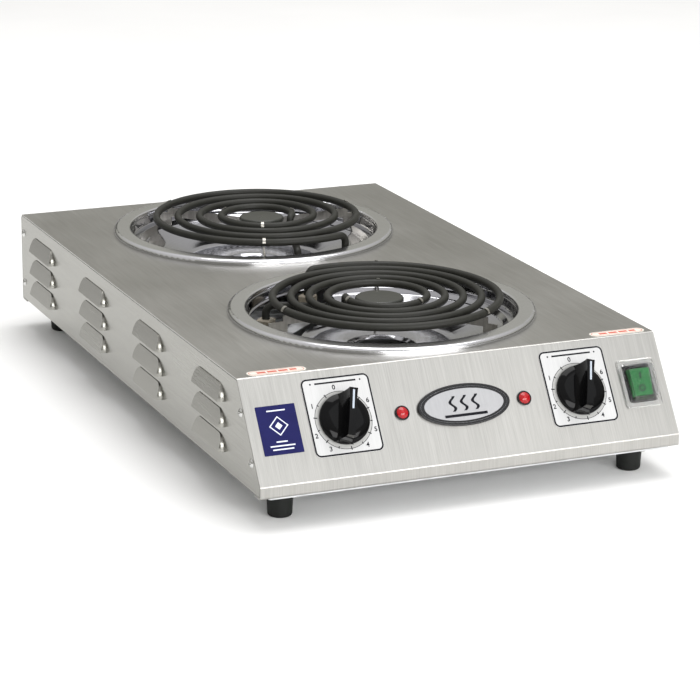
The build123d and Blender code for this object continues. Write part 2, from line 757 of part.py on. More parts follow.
def switch_shaft(side):
    """Flatted shaft that joins the knob to the control switch."""
    shaft = rod(SHAFT_R, -SHAFT_TAIL, SHAFT_TOP)
    flat = Pos(0, SHAFT_R, (BUSHING_TOP + 1.5 + SHAFT_TOP + 1) / 2)
    shaft -= flat * Box(10, 2.6, SHAFT_TOP - BUSHING_TOP - 0.5)
    return on_panel(Rot(0, 0, KNOB_REST_TURN) * shaft, side * KNOB_X, KNOB_V)


def knob_shape():
    """Round skirt with a tall tapered wing, drawn pointing along +Y."""
    skirt = rod(KNOB_R, KNOB_GAP, KNOB_GAP + 3.4)
    skirt += Pos(0, 0, KNOB_GAP + 3.4 + 1.3) * Cone(KNOB_R, KNOB_R - 3.0, 2.6)
    section = Polyline(
        (-WING_BASE_HALF, KNOB_GAP + 2.0),
        (WING_BASE_HALF, KNOB_GAP + 2.0),
        (WING_WAIST_HALF, 13.0),
        (WING_CREST_HALF, KNOB_HEIGHT),
        (-WING_CREST_HALF, KNOB_HEIGHT),
        (-WING_WAIST_HALF, 13.0),
        close=True,
    )
    lengthwise = Plane.XZ * make_face(section)
    wing = Pos(0, 30, 0) * extrude(lengthwise, 60)
    half = KNOB_WING_HALF
    profile = FilletPolyline(
        (-half - 1.0, KNOB_GAP),
        (half + 1.0, KNOB_GAP),
        (half, KNOB_HEIGHT),
        (-half, KNOB_HEIGHT),
        radius=[0.4, 0.4, 1.5, 1.5],
        close=True,
    )
    crosswise = Plane.YZ * make_face(profile)
    wing &= Pos(-30, 0, 0) * extrude(crosswise, 60)
    return skirt + wing


def knob(side):
    """Black control knob, hollow underneath."""
    shape = knob_shape()
    shape -= rod(KNOB_HOLLOW_R, 0, KNOB_GAP + 3.6)
    bore = rod(SHAFT_R + 0.03, 0, SHAFT_TOP + 0.3)
    flat = Pos(0, SHAFT_R + 0.06, (BUSHING_TOP + 1.5 + SHAFT_TOP + 1) / 2)
    bore -= flat * Box(10, 2.6, SHAFT_TOP - BUSHING_TOP - 0.5)
    shape -= bore
    shape -= Pos(0, KNOB_WING_HALF - POINTER_LENGTH / 2, KNOB_HEIGHT) * Box(
        POINTER_WIDTH + 0.1, POINTER_LENGTH + 4.0, 2 * POINTER_SINK
    )
    return on_panel(Rot(0, 0, KNOB_REST_TURN) * shape, side * KNOB_X, KNOB_V)


def knob_pointer(side):
    """White line let into the crest of the knob."""
    bar = Box(POINTER_WIDTH, POINTER_LENGTH, POINTER_SINK)
    top = KNOB_HEIGHT - POINTER_SINK / 2
    bar = Pos(0, KNOB_WING_HALF - 1.3 - POINTER_LENGTH / 2, top) * bar
    return on_panel(Rot(0, 0, KNOB_REST_TURN) * bar, side * KNOB_X, KNOB_V)


def dial_plate(side):
    """Printed plate behind a knob."""
    face = plate(PLATE_W, PLATE_H, 0.01, PLATE_T, 4.8)
    shape = on_panel(face, side * PLATE_X, PLATE_V)
    return shape - on_panel(rod(BUSHING_R + 0.3, -2, 4), side * KNOB_X, KNOB_V)


def lamp_bezel(side):
    """Dark snap ring round a pilot lamp."""
    ring = tube(LAMP_BEZEL_R, LAMP_LENS_R + 0.08, 0.02, 1.6)
    ring = chamfer(ring.edges().group_by(Axis.Z)[-1], 0.4)
    return on_panel(ring, side * LAMP_X, LAMP_V)


def lamp_lens(side):
    """Domed red lens."""
    ball_r = (LAMP_LENS_R ** 2 + LAMP_DOME ** 2) / (2 * LAMP_DOME)
    dome = Pos(0, 0, 1.4 + LAMP_DOME - ball_r) * Sphere(ball_r)
    lens = rod(LAMP_LENS_R, 0.04, 1.4 + LAMP_DOME) & (dome + rod(LAMP_LENS_R, 0, 1.5))
    return on_panel(lens, side * LAMP_X, LAMP_V)


def lamp_body(side):
    """Lamp body and its two blades behind the panel."""
    body = rod(LAMP_BODY_R, -18, 0.0)
    body += rod(LAMP_BODY_R + 1.6, -5.0, -SHEET - 0.05)
    for x in (-2, 2):
        body += Pos(x, 0, -21.9) * Box(0.8, 3.0, 8.0)
    return on_panel(body, side * LAMP_X, LAMP_V)


def badge_rim():
    """Oval black frame with two studs through the panel."""
    rim = extrude(Ellipse(BADGE_W / 2, BADGE_H / 2), BADGE_RISE)
    rim = fillet(rim.edges().group_by(Axis.Z)[-1], 0.8)
    well = extrude(Ellipse(BADGE_W / 2 - BADGE_RIM, BADGE_H / 2 - BADGE_RIM), BADGE_RISE)
    rim -= Pos(0, 0, BADGE_RISE - 0.9) * well
    rim = Pos(0, 0, 0.02) * rim
    for x in (-BADGE_STUD_X, BADGE_STUD_X):
        rim += Pos(x, 0, 0) * rod(BADGE_STUD_R, -4, 0.5)
    return on_panel(rim, 0, BADGE_V)


def badge_face():
    """Plain oval inlay of the badge."""
    a = BADGE_W / 2 - BADGE_RIM - 0.1
    b = BADGE_H / 2 - BADGE_RIM - 0.1
    inlay = Pos(0, 0, BADGE_RISE - 0.86) * extrude(Ellipse(a, b), 0.6)
    return on_panel(inlay, 0, BADGE_V)


def badge_clips():
    """Push nuts on the badge studs behind the panel."""
    clip = tube(BADGE_STUD_R + 2.2, BADGE_STUD_R + 0.05, -SHEET - 0.7, -SHEET - 0.05)
    places = [on_panel(clip, x, BADGE_V) for x in (-BADGE_STUD_X, BADGE_STUD_X)]
    return group(places)


def rocker_body():
    """Snap-in power switch case with a well for the rocker."""
    case = plate(ROCKER_BODY_W, ROCKER_BODY_H, -ROCKER_BODY_DEPTH, 0.0, 1.0)
    case += plate(ROCKER_BODY_W + 2.2, ROCKER_BODY_H + 2.2, 0.02, 1.6, 1.8)
    case -= plate(ROCKER_W + 1.0, ROCKER_H + 4.0, -ROCKER_WELL, 4, 0.8)
    for x in (-6, 6):
        for y in (-8, 0, 8):
            case += Pos(x, y, -ROCKER_BODY_DEPTH - 3.9) * Box(0.8, 6.3, 8.0)
    pin = Pos(0, 0, ROCKER_PIVOT_H) * Rot(0, 90, 0) * Cylinder(ROCKER_PIN_R, ROCKER_BODY_W - 0.6)
    ears = Pos(0, 0, ROCKER_PIVOT_H) * Box(ROCKER_W + 1.1, 5.0, 5.0)
    ears -= Box(ROCKER_W + 0.6, 20, 20)
    case += ears
    case += pin
    return on_panel(case, ROCKER_X, ROCKER_V)


def rocker():
    """Green lever of the power switch, tipped about its cross pin."""
    half = ROCKER_H / 2
    profile = [
        (-half, ROCKER_PIVOT_H - 1.2),
        (-half, ROCKER_LOW_H),
        (half, ROCKER_HIGH_H),
        (half, ROCKER_PIVOT_H + 1.0),
        (0, ROCKER_PIVOT_H - 3.4),
    ]
    face = Plane.YZ * make_face(FilletPolyline(*profile, radius=[0.6, 1.0, 1.6, 0.6, 1.0], close=True))
    lever = Pos(-ROCKER_W / 2, 0, 0) * extrude(face, ROCKER_W)
    bore = Pos(0, 0, ROCKER_PIVOT_H) * Rot(0, 90, 0) * Cylinder(ROCKER_PIN_R + RUNNING_GAP, 60)
    return on_panel(lever - bore, ROCKER_X, ROCKER_V)


def rocker_cover():
    """Clear moulded hood over the power switch, with a flange on the panel."""
    outer = plate(COVER_FLANGE_W, COVER_FLANGE_H, 0.03, COVER_FLANGE_T, 2.4)
    dome_face = RectangleRounded(COVER_BASE_W, COVER_BASE_H, 2.6)
    crown_face = RectangleRounded(COVER_TOP_W, COVER_TOP_H, 2.2)
    dome = loft([Pos(0, 0, 0.03) * dome_face, Pos(0, 0, COVER_RISE) * crown_face])
    wall = COVER_WALL
    low = Pos(0, 0, -0.5) * RectangleRounded(COVER_BASE_W - 2 * wall, COVER_BASE_H - 2 * wall, 1.6)
    high = Pos(0, 0, COVER_RISE - wall) * RectangleRounded(
        COVER_TOP_W - 2 * wall, COVER_TOP_H - 2 * wall, 1.4
    )
    return on_panel(outer + dome - loft([low, high]), ROCKER_X, ROCKER_V)


def front_label():
    """Thin blue information label, left blank."""
    sheet = plate(LABEL_W, LABEL_H, 0.01, LABEL_T, 0.6)
    return on_panel(sheet, LABEL_X, LABEL_V)


def top_labels():
    """Two thin rounded labels on the top sheet, left blank."""
    sheet = plate(TOP_LABEL_W, TOP_LABEL_D, TOP_Z + 0.01, TOP_Z + LABEL_T, TOP_LABEL_D / 2 - 0.1)
    return group([Pos(x, TOP_LABEL_Y, 0) * sheet for x in TOP_LABEL_X])


# ---- inside and rear ----------------------------------------------------------------------------
def cord_bushing():
    """Plastic gland in the rear for the supply cord."""
    neck = tube(CORD_NECK_R, CORD_BORE_R, -SHEET - 9, 0.5)
    head = tube(CORD_HEAD_R, CORD_BORE_R, 0.02, CORD_HEAD_T)
    head = chamfer(head.edges().group_by(Axis.Z)[-1], 0.8)
    barb = tube(CORD_NECK_R + 1.4, CORD_NECK_R - 0.5, -SHEET - 3.0, -SHEET - 0.1)
    bushing = neck + head + barb
    return Pos(CORD_X, REAR_Y, CORD_Z) * Rot(90, 0, 0) * Rot(0, 180, 0) * bushing


def supply_block():
    """Moulded terminal block for the incoming supply."""
    low = BODY_BOTTOM_Z + 0.05
    block = Pos(0, 0, low + 8) * Box(44, 22, 16)
    block += Pos(0, 0, low + 12) * Box(44, 9, 10)
    for step in (-1, 0, 1):
        for side in (-1, 1):
            block -= Pos(14 * step, 8 * side, low + 13) * Cylinder(3.0, 8)
    return Pos(CORD_X, SUPPLY_Y, 0) * block


def supply_screws():
    """Clamp screws of the supply block."""
    low = BODY_BOTTOM_Z + 0.05
    screws = []
    for step in (-1, 0, 1):
        for side in (-1, 1):
            head = rod(2.6, low + 9.05, low + 12) - Pos(0, 0, low + 12) * Box(6, 0.9, 1.6)
            screws.append(Pos(CORD_X + 14 * step, SUPPLY_Y + 8 * side, 0) * head)
    return group(screws)


def ground_lug():
    """Earthing stud with washer and nut on the bottom plate."""
    low = BODY_BOTTOM_Z + 0.02
    stud = rod(2.0, low, low + 14) + hexagon(7.0, low + 1.2, low + 4.4) + rod(5.0, low, low + 1.2)
    return Pos(GROUND_X, SUPPLY_Y, 0) * stud


def heat_baffle():
    """Upright sheet that shields the controls from the front burner."""
    low = BODY_BOTTOM_Z + 0.05
    web = Pos(0, BAFFLE_Y, (low + BAFFLE_TOP) / 2) * Box(BAFFLE_W, SHEET, BAFFLE_TOP - low)
    foot_flange = Pos(0, BAFFLE_Y + 5, low + SHEET / 2) * Box(BAFFLE_W, 10, SHEET)
    crown = Pos(0, BAFFLE_Y - 4, BAFFLE_TOP - SHEET / 2) * Box(BAFFLE_W, 8, SHEET)
    baffle = web + foot_flange + crown
    for x in WIRE_X:
        baffle -= Pos(x, BAFFLE_Y, WIRE_Z) * Rot(90, 0, 0) * Cylinder(3.4, 6)
    return baffle


def wiring():
    """Insulated leads from the controls to the burners and the supply block."""
    leads = []
    for x in WIRE_X:
        points = [
            (x, BAFFLE_Y - 14, WIRE_Z),
            (x, BAFFLE_Y + 40, WIRE_Z),
            (x * 0.96, 60, WIRE_Z + 0.5),
            (x * 0.96, SUPPLY_Y - 40, WIRE_Z + 0.5),
        ]
        path = FilletPolyline(*points, radius=[40, 40])
        start = Plane(origin=points[0], z_dir=(0, 1, 0))
        leads.append(sweep(start * Circle(WIRE_R), path=path))
    return group(leads)


# ---- write one file per piece --------------------------------------------------------------------
def all_pieces():
    """Every named piece of the hot plate."""
    pieces = {
        "housing_wrap": housing_wrap(),
        "side_panel_left": side_panel(-1),
        "side_panel_right": side_panel(1),
        "bottom_plate": bottom_plate(),
        "side_screws": side_screws(),
        "bottom_screws": bottom_screws(),
        "foot_screws": foot_screws(),
        "foot_nuts": foot_nuts(),
        "badge_rim": badge_rim(),
        "badge_face": badge_face(),
        "badge_clips": badge_clips(),
        "power_switch_case": rocker_body(),
        "power_rocker": rocker(),
        "power_switch_cover": rocker_cover(),
        "front_label": front_label(),
        "top_labels": top_labels(),
        "switch_nuts": switch_nuts(),
        "cord_bushing": cord_bushing(),
        "supply_block": supply_block(),
        "supply_screws": supply_screws(),
        "ground_stud": ground_lug(),
        "heat_baffle": heat_baffle(),
        "wiring": wiring(),
    }
    for (x, y), name in zip(foot_places(), FOOT_NAMES):
        pieces["foot_" + name] = foot(x, y)
    for name, burner in BURNERS.items():
        pieces["trim_ring_" + name] = trim_ring(burner)
        pieces["drip_bowl_" + name] = drip_bowl(burner)
        pieces["coil_element_" + name] = coil_element(burner)
        pieces["coil_spider_" + name] = coil_spider(burner)
        pieces["coil_clips_" + name] = coil_clips(burner)
        pieces["coil_disc_" + name] = coil_disc(burner)
        pieces["terminal_insulators_" + name] = terminal_insulators(burner)
        pieces["terminal_stand_" + name] = terminal_stand(burner)
    for side, name in ((-1, "left"), (1, "right")):
        pieces["control_switch_" + name] = control_switch(side)
        pieces["switch_shaft_" + name] = switch_shaft(side)
        pieces["knob_" + name] = knob(side)
        pieces["knob_pointer_" + name] = knob_pointer(side)
        pieces["dial_plate_" + name] = dial_plate(side)
        pieces["lamp_bezel_" + name] = lamp_bezel(side)
        pieces["lamp_lens_" + name] = lamp_lens(side)
        pieces["lamp_body_" + name] = lamp_body(side)
    return pieces


os.makedirs("parts", exist_ok=True)
for piece_name, piece in all_pieces().items():
    export_step(piece, "parts/" + piece_name + ".step")
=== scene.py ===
"""Countertop double hot plate: materials, printed detail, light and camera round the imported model.

Everything is in metres in the model's own frame: +X right, +Y to the rear, +Z up."""
import json
import math

import bmesh
import bpy
from mathutils import Matrix, Vector


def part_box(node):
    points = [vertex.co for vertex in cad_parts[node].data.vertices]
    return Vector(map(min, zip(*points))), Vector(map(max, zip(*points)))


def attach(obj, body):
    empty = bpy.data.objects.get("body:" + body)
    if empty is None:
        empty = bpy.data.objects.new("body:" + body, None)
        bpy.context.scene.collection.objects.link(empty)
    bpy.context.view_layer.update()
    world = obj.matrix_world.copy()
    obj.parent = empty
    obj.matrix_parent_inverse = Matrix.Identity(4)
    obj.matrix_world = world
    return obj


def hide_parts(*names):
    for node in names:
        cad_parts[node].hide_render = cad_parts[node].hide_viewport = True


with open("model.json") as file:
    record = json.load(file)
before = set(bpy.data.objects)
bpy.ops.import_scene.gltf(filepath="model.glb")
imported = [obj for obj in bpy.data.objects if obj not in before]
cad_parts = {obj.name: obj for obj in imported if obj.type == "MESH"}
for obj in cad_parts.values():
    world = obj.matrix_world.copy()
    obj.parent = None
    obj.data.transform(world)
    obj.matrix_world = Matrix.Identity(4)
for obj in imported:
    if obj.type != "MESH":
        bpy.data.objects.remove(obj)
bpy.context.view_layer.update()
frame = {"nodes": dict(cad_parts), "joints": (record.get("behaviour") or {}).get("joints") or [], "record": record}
NODES = frame["nodes"]
RECORD = frame["record"]
MM = 0.001


# ---- places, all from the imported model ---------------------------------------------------
def joint(name):
    """Record entry of a joint."""
    return next(j for j in frame["joints"] if j["name"] == name)


def box_centre(node):
    """Middle of a CAD node's box."""
    low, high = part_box(node)
    return (low + high) / 2


NORMAL = Vector(joint("knob_left_turn")["axis"]).normalized()
UPSLOPE = Vector((0, NORMAL.z, -NORMAL.y))
ACROSS = Vector((1, 0, 0))
PANEL_POINT = Vector(joint("knob_left_turn")["pos_m"])
PANEL_POINT.x = 0


def on_panel(x, v, h=0.0):
    """Matrix of a place on the panel: x across, v up the slope from the knobs' axis, h out."""
    place = Matrix((ACROSS, UPSLOPE, NORMAL)).transposed().to_4x4()
    place.translation = PANEL_POINT + ACROSS * x + UPSLOPE * v + NORMAL * h
    return place


def panel_coords(point):
    """(x, v, h) of a point in the panel's own axes."""
    away = point - PANEL_POINT
    return away.dot(ACROSS), away.dot(UPSLOPE), away.dot(NORMAL)


# ---- material building blocks --------------------------------------------------------------
# Noise stays mostly between these two values, so ramps are stretched over them.
NOISE_LOW, NOISE_HIGH = 0.3, 0.7


class Shader:
    """One Principled material with small helpers for its procedural nodes."""

    def __init__(self, name, **constants):
        self.material = bpy.data.materials.new(name)
        self.material.use_nodes = True
        self.nodes = self.material.node_tree.nodes
        self.links = self.material.node_tree.links
        self.surface = self.nodes["Principled BSDF"]
        for key, value in constants.items():
            self.surface.inputs[key.replace("_", " ")].default_value = value

    def add(self, kind, **settings):
        node = self.nodes.new(kind)
        for key, value in settings.items():
            setattr(node, key, value)
        return node

    def join(self, output, target):
        self.links.new(output, target)

    def place(self, scale=(1, 1, 1), offset=(0, 0, 0)):
        """Object coordinates, stretched."""
        source = self.add("ShaderNodeTexCoord")
        mapping = self.add("ShaderNodeMapping")
        mapping.inputs["Scale"].default_value = scale
        mapping.inputs["Location"].default_value = offset
        self.join(source.outputs["Object"], mapping.inputs["Vector"])
        return mapping.outputs["Vector"]

    def ringed(self, centre, rings):
        """Coordinates that change only with the distance from a vertical axis."""
        source = self.add("ShaderNodeTexCoord")
        split = self.add("ShaderNodeSeparateXYZ")
        self.join(source.outputs["Object"], split.inputs[0])
        squares = []
        for axis, value in (("X", centre[0]), ("Y", centre[1])):
            away = self.add("ShaderNodeMath", operation="SUBTRACT")
            self.join(split.outputs[axis], away.inputs[0])
            away.inputs[1].default_value = value
            square = self.add("ShaderNodeMath", operation="MULTIPLY")
            self.join(away.outputs[0], square.inputs[0])
            self.join(away.outputs[0], square.inputs[1])
            squares.append(square)
        total = self.add("ShaderNodeMath", operation="ADD")
        self.join(squares[0].outputs[0], total.inputs[0])
        self.join(squares[1].outputs[0], total.inputs[1])
        root = self.add("ShaderNodeMath", operation="SQRT")
        self.join(total.outputs[0], root.inputs[0])
        scaled = self.add("ShaderNodeMath", operation="MULTIPLY")
        self.join(root.outputs[0], scaled.inputs[0])
        scaled.inputs[1].default_value = rings
        joined = self.add("ShaderNodeCombineXYZ")
        self.join(scaled.outputs[0], joined.inputs[0])
        return joined.outputs[0]

    def noise(self, vector, scale, detail=3.0, roughness=0.55):
        node = self.add("ShaderNodeTexNoise")
        node.inputs["Scale"].default_value = scale
        node.inputs["Detail"].default_value = detail
        node.inputs["Roughness"].default_value = roughness
        self.join(vector, node.inputs["Vector"])
        return node.outputs["Fac"]

    def cells(self, vector, scale):
        node = self.add("ShaderNodeTexVoronoi")
        node.inputs["Scale"].default_value = scale
        self.join(vector, node.inputs["Vector"])
        return node.outputs["Distance"]

    def blend(self, first, second, share):
        """Weighted mix of two grey signals."""
        node = self.add("ShaderNodeMix", data_type="FLOAT")
        node.inputs["Factor"].default_value = share
        self.join(first, node.inputs["A"])
        self.join(second, node.inputs["B"])
        return node.outputs["Result"]

    def spread(self, signal, low, high):
        """Noise signal stretched to [low, high]."""
        node = self.add("ShaderNodeMapRange")
        node.inputs["From Min"].default_value = NOISE_LOW
        node.inputs["From Max"].default_value = NOISE_HIGH
        node.inputs["To Min"].default_value = low
        node.inputs["To Max"].default_value = high
        self.join(signal, node.inputs["Value"])
        return node.outputs["Result"]

    def colour(self, signal, dark, light, start=NOISE_LOW, end=NOISE_HIGH):
        ramp = self.add("ShaderNodeValToRGB")
        ramp.color_ramp.elements[0].position = start
        ramp.color_ramp.elements[1].position = end
        ramp.color_ramp.elements[0].color = (*dark, 1)
        ramp.color_ramp.elements[1].color = (*light, 1)
        self.join(signal, ramp.inputs["Fac"])
        self.join(ramp.outputs["Color"], self.surface.inputs["Base Color"])

    def gloss(self, signal, low, high):
        self.join(self.spread(signal, low, high), self.surface.inputs["Roughness"])

    def bump(self, signal, strength, distance):
        node = self.add("ShaderNodeBump")
        node.inputs["Strength"].default_value = strength
        node.inputs["Distance"].default_value = distance
        self.join(signal, node.inputs["Height"])
        self.join(node.outputs["Normal"], self.surface.inputs["Normal"])


def brushed(name, dark, light, grain, rough=(0.28, 0.40), metallic=1.0):
    """Sheet metal with a directional brushed grain; grain is the stretch along X, Y and Z."""
    s = Shader(name, Metallic=metallic)
    fine = s.noise(s.place(grain), 1.0, 4.0, 0.65)
    coarse = s.noise(s.place([g * 0.31 for g in grain], (3.1, 1.7, 0.4)), 1.0, 3.0, 0.6)
    streak = s.blend(fine, coarse, 0.24)
    patches = s.noise(s.place(), 9.0, 3.0, 0.5)
    s.colour(s.blend(streak, patches, 0.25), dark, light, 0.34, 0.66)
    s.gloss(s.blend(streak, patches, 0.5), rough[0], rough[1])
    s.bump(streak, 0.16, 0.00006)
    return s.material


def spun(name, centre, dark, light, rough, rings, strength):
    """Metal with faint rings turned about a vertical axis."""
    s = Shader(name, Metallic=1.0)
    turned = s.noise(s.ringed(centre, rings), 1.0, 2.0)
    film = s.noise(s.place(), 22.0, 4.0, 0.6)
    s.colour(s.blend(turned, film, 0.6), dark, light)
    s.gloss(s.blend(turned, film, 0.7), rough[0], rough[1])
    s.bump(turned, strength, 0.00004)
    return s.material


def moulded(name, dark, light, rough, grain=2600.0, strength=0.08, **constants):
    """Moulded plastic, rubber, enamel or ceramic with a fine surface texture."""
    s = Shader(name, **constants)
    pebble = s.noise(s.place(), grain, 2.0)
    wear = s.noise(s.place(), 60.0, 4.0, 0.6)
    s.colour(s.blend(pebble, wear, 0.5), dark, light)
    s.gloss(wear, rough[0], rough[1])
    s.bump(pebble, strength, 0.00004)
    return s.material


def sheath(name):
    """Oxidised heating tube: dark olive with a dry bloom and small pits."""
    s = Shader(name, Metallic=0.0, Specular_IOR_Level=0.32)
    pits = s.noise(s.place(), 1500.0, 4.0, 0.7)
    bloom = s.noise(s.place(), 85.0, 5.0, 0.65)
    s.colour(s.blend(pits, bloom, 0.55), (0.008, 0.008, 0.006), (0.020, 0.020, 0.015))
    s.gloss(bloom, 0.42, 0.62)
    s.bump(pits, 0.28, 0.00008)
    return s.material


def galvanised(name):
    """Zinc-coated sheet with spangle."""
    s = Shader(name, Metallic=0.9)
    spangle = s.cells(s.place(), 95.0)
    cloud = s.noise(s.place(), 30.0, 4.0)
    s.colour(s.blend(spangle, cloud, 0.5), (0.40, 0.41, 0.42), (0.62, 0.63, 0.64), 0.1, 0.6)
    s.gloss(spangle, 0.38, 0.55)
    s.bump(cloud, 0.1, 0.0001)
    return s.material


def clear(name):
    """Clear moulded plastic."""
    s = Shader(name, Transmission_Weight=1.0, IOR=1.30, Alpha=0.80)
    film = s.noise(s.place(), 140.0, 4.0, 0.6)
    s.colour(film, (0.90, 0.92, 0.93), (1.0, 1.0, 1.0))
    s.gloss(film, 0.02, 0.09)
    s.bump(film, 0.05, 0.0001)
    return s.material


def glowing(name, dark, light, rough, **constants):
    """Tinted translucent plastic, as on lamps and the lit switch."""
    s = Shader(name, **constants)
    depth = s.noise(s.place(), 420.0, 3.0, 0.6)
    s.colour(depth, dark, light)
    s.gloss(depth, rough[0], rough[1])
    s.bump(depth, 0.06, 0.0001)
    return s.material


# ---- materials: one for each slot of the record, and a few set by node ------------------------
BURNERS = ("front", "rear")
SIDES = ("left", "right")
STEEL_DARK = (0.345, 0.338, 0.320)
STEEL_LIGHT = (0.475, 0.467, 0.446)

materials = {
    "stainless": brushed("stainless_fold", STEEL_DARK, STEEL_LIGHT, (1300, 26, 26)),
    "galvanized": galvanised("galvanised_sheet"),
    "coil_sheath": sheath("oxidised_sheath"),
    "support_steel": brushed(
        "support_steel", (0.30, 0.29, 0.26), (0.52, 0.50, 0.46), (300, 300, 60)
    ),
    "disc_enamel": moulded(
        "dark_enamel", (0.022, 0.023, 0.019), (0.036, 0.037, 0.031), (0.26, 0.38),
        Specular_IOR_Level=0.35,
    ),
    "white_ceramic": moulded(
        "glazed_ceramic", (0.20, 0.175, 0.13), (0.34, 0.30, 0.24), (0.18, 0.30), 900.0
    ),
    "screw_steel": brushed(
        "zinc_screw", (0.55, 0.55, 0.54), (0.78, 0.78, 0.77), (700, 700, 700), (0.16, 0.26)
    ),
    "black_rubber": moulded(
        "black_rubber", (0.005, 0.006, 0.005), (0.012, 0.013, 0.012), (0.50, 0.70), 1500.0, 0.25,
        Specular_IOR_Level=0.25,
    ),
    "knob_black": moulded(
        "gloss_black", (0.0016, 0.0016, 0.0018), (0.0040, 0.0040, 0.0043), (0.05, 0.10),
        Specular_IOR_Level=0.13,
    ),
    "pointer_white": moulded("pointer_ink", (0.36, 0.40, 0.46), (0.46, 0.51, 0.58), (0.35, 0.5)),
    "switch_black": moulded(
        "satin_black", (0.004, 0.004, 0.005), (0.010, 0.010, 0.011), (0.14, 0.24),
        Specular_IOR_Level=0.35,
    ),
    "badge_silver": brushed(
        "badge_face", (0.34, 0.34, 0.35), (0.39, 0.39, 0.40), (900, 60, 60), (0.34, 0.46), 0.45
    ),
    "lamp_red": glowing(
        "lamp_red", (0.27, 0.003, 0.006), (0.44, 0.008, 0.012), (0.07, 0.14),
        Specular_IOR_Level=0.5,
    ),
    "lamp_white": moulded("lamp_case", (0.70, 0.70, 0.68), (0.84, 0.84, 0.82), (0.4, 0.5)),
    "rocker_green": glowing(
        "rocker_green", (0.012, 0.120, 0.028), (0.020, 0.170, 0.042), (0.16, 0.26),
        Specular_IOR_Level=0.12,
    ),
    "clear_cover": clear("clear_cover"),
    "plate_silver": brushed(
        "dial_plate", (0.50, 0.50, 0.50), (0.58, 0.58, 0.58), (1300, 40, 40), (0.36, 0.48), 0.45
    ),
    "label_blue": moulded(
        "label_blue", (0.006, 0.006, 0.056), (0.009, 0.010, 0.088), (0.34, 0.46),
        Specular_IOR_Level=0.15,
    ),
    "label_white": moulded("label_cream", (0.66, 0.63, 0.56), (0.78, 0.75, 0.68), (0.36, 0.48)),
    "lead_white": moulded("silicone_sleeve", (0.58, 0.56, 0.50), (0.76, 0.74, 0.67), (0.5, 0.65)),
}
ink = moulded(
    "black_ink", (0.004, 0.004, 0.006), (0.010, 0.010, 0.014), (0.4, 0.55),
    Specular_IOR_Level=0.1,
)
pale_ink = moulded("pale_ink", (0.60, 0.63, 0.72), (0.76, 0.79, 0.86), (0.35, 0.5))
red_ink = moulded("red_ink", (0.52, 0.075, 0.05), (0.66, 0.14, 0.09), (0.35, 0.5))
band_ink = moulded("grey_band", (0.36, 0.36, 0.35), (0.44, 0.44, 0.43), (0.35, 0.5))

# Nodes that don't take their slot's material: the sides' grain is upright and their steel is a
# darker copy of the fold's, painted shade, and the rings and bowls are turned about their own axis.
shaded_side_steel = brushed(
    "stainless_side_painted_shade", (0.280, 0.275, 0.252), (0.385, 0.380, 0.352), (26, 26, 1300), (0.20, 0.30)
)
by_node = {"side_panel_" + side: shaded_side_steel for side in SIDES}
for burner in BURNERS:
    centre = box_centre("trim_ring_" + burner)
    by_node["trim_ring_" + burner] = spun(
        "satin_ring_" + burner, centre, (0.62, 0.62, 0.64), (0.67, 0.67, 0.69), (0.17, 0.20),
        2600.0, 0.02,
    )
    by_node["drip_bowl_" + burner] = spun(
        "mirror_bowl_" + burner, centre, (0.36, 0.36, 0.38), (0.45, 0.45, 0.47), (0.06, 0.11),
        700.0, 0.03,
    )


def coat(thing, material):
    """Gives an object one material."""
    thing.data.materials.clear()
    thing.data.materials.append(material)


for part in RECORD["subparts"]:
    node = part["node"]
    coat(NODES[node], by_node[node] if node in by_node else materials[part["material_slot"]])


# ---- mesh helpers -----------------------------------------------------------------------------
def finish_piece(name, mesh_edit, body, material, smooth=40.0, replaces=()):
    """Turns an edited mesh into a piece that rides on a body."""
    bmesh.ops.recalc_face_normals(mesh_edit, faces=mesh_edit.faces)
    mesh = bpy.data.meshes.new(name)
    mesh_edit.to_mesh(mesh)
    mesh_edit.free()
    mesh.shade_smooth()
    mesh.set_sharp_from_angle(angle=math.radians(smooth))
    piece = bpy.data.objects.new(name, mesh)
    bpy.context.scene.collection.objects.link(piece)
    coat(piece, material)
    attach(piece, body)
    if replaces:
        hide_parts(*replaces)
    return piece


def prism(work, outline, low, high, place):
    """Adds a closed prism over a flat outline."""
    bottom = [work.verts.new(place @ Vector((x, y, low))) for x, y in outline]
    top = [work.verts.new(place @ Vector((x, y, high))) for x, y in outline]
    work.faces.new(list(reversed(bottom)))
    work.faces.new(top)
    count = len(outline)
    for i in range(count):
        k = (i + 1) % count
        work.faces.new((bottom[i], bottom[k], top[k], top[i]))


def loop_band(work, outer, inner, low, high, place):
    """Adds a closed band between two outlines with the same number of points."""
    rows = []
    for outline, z in ((outer, low), (outer, high), (inner, high), (inner, low)):
        rows.append([work.verts.new(place @ Vector((x, y, z))) for x, y in outline])
    count = len(outer)
    for row in range(4):
        first, second = rows[row], rows[(row + 1) % 4]
        for i in range(count):
            k = (i + 1) % count
            work.faces.new((first[i], first[k], second[k], second[i]))


def round_rect(width, height, corner, steps=10):
    """Outline of a rectangle with round corners."""
    points = []
    for quarter, (sx, sy) in enumerate(((1, 1), (-1, 1), (-1, -1), (1, -1))):
        middle = (sx * (width / 2 - corner), sy * (height / 2 - corner))
        for step in range(steps + 1):
            angle = math.radians(90 * (quarter + step / steps))
            x = middle[0] + corner * math.cos(angle)
            points.append((x, middle[1] + corner * math.sin(angle)))
    return points


def oval(a, b, count=96):
    """Outline of an ellipse."""
    turn = 2 * math.pi / count
    return [(a * math.cos(i * turn), b * math.sin(i * turn)) for i in range(count)]


def circle(radius, count=96):
    """Outline of a circle."""
    return oval(radius, radius, count)


def bar(width, height, x=0.0, y=0.0, turn=0.0):
    """Outline of a small bar at (x, y), turned."""
    c, s = math.cos(turn), math.sin(turn)
    half_w, half_h = width / 2, height / 2
    corners = ((-half_w, -half_h), (half_w, -half_h), (half_w, half_h), (-half_w, half_h))
    return [(x + px * c - py * s, y + px * s + py * c) for px, py in corners]


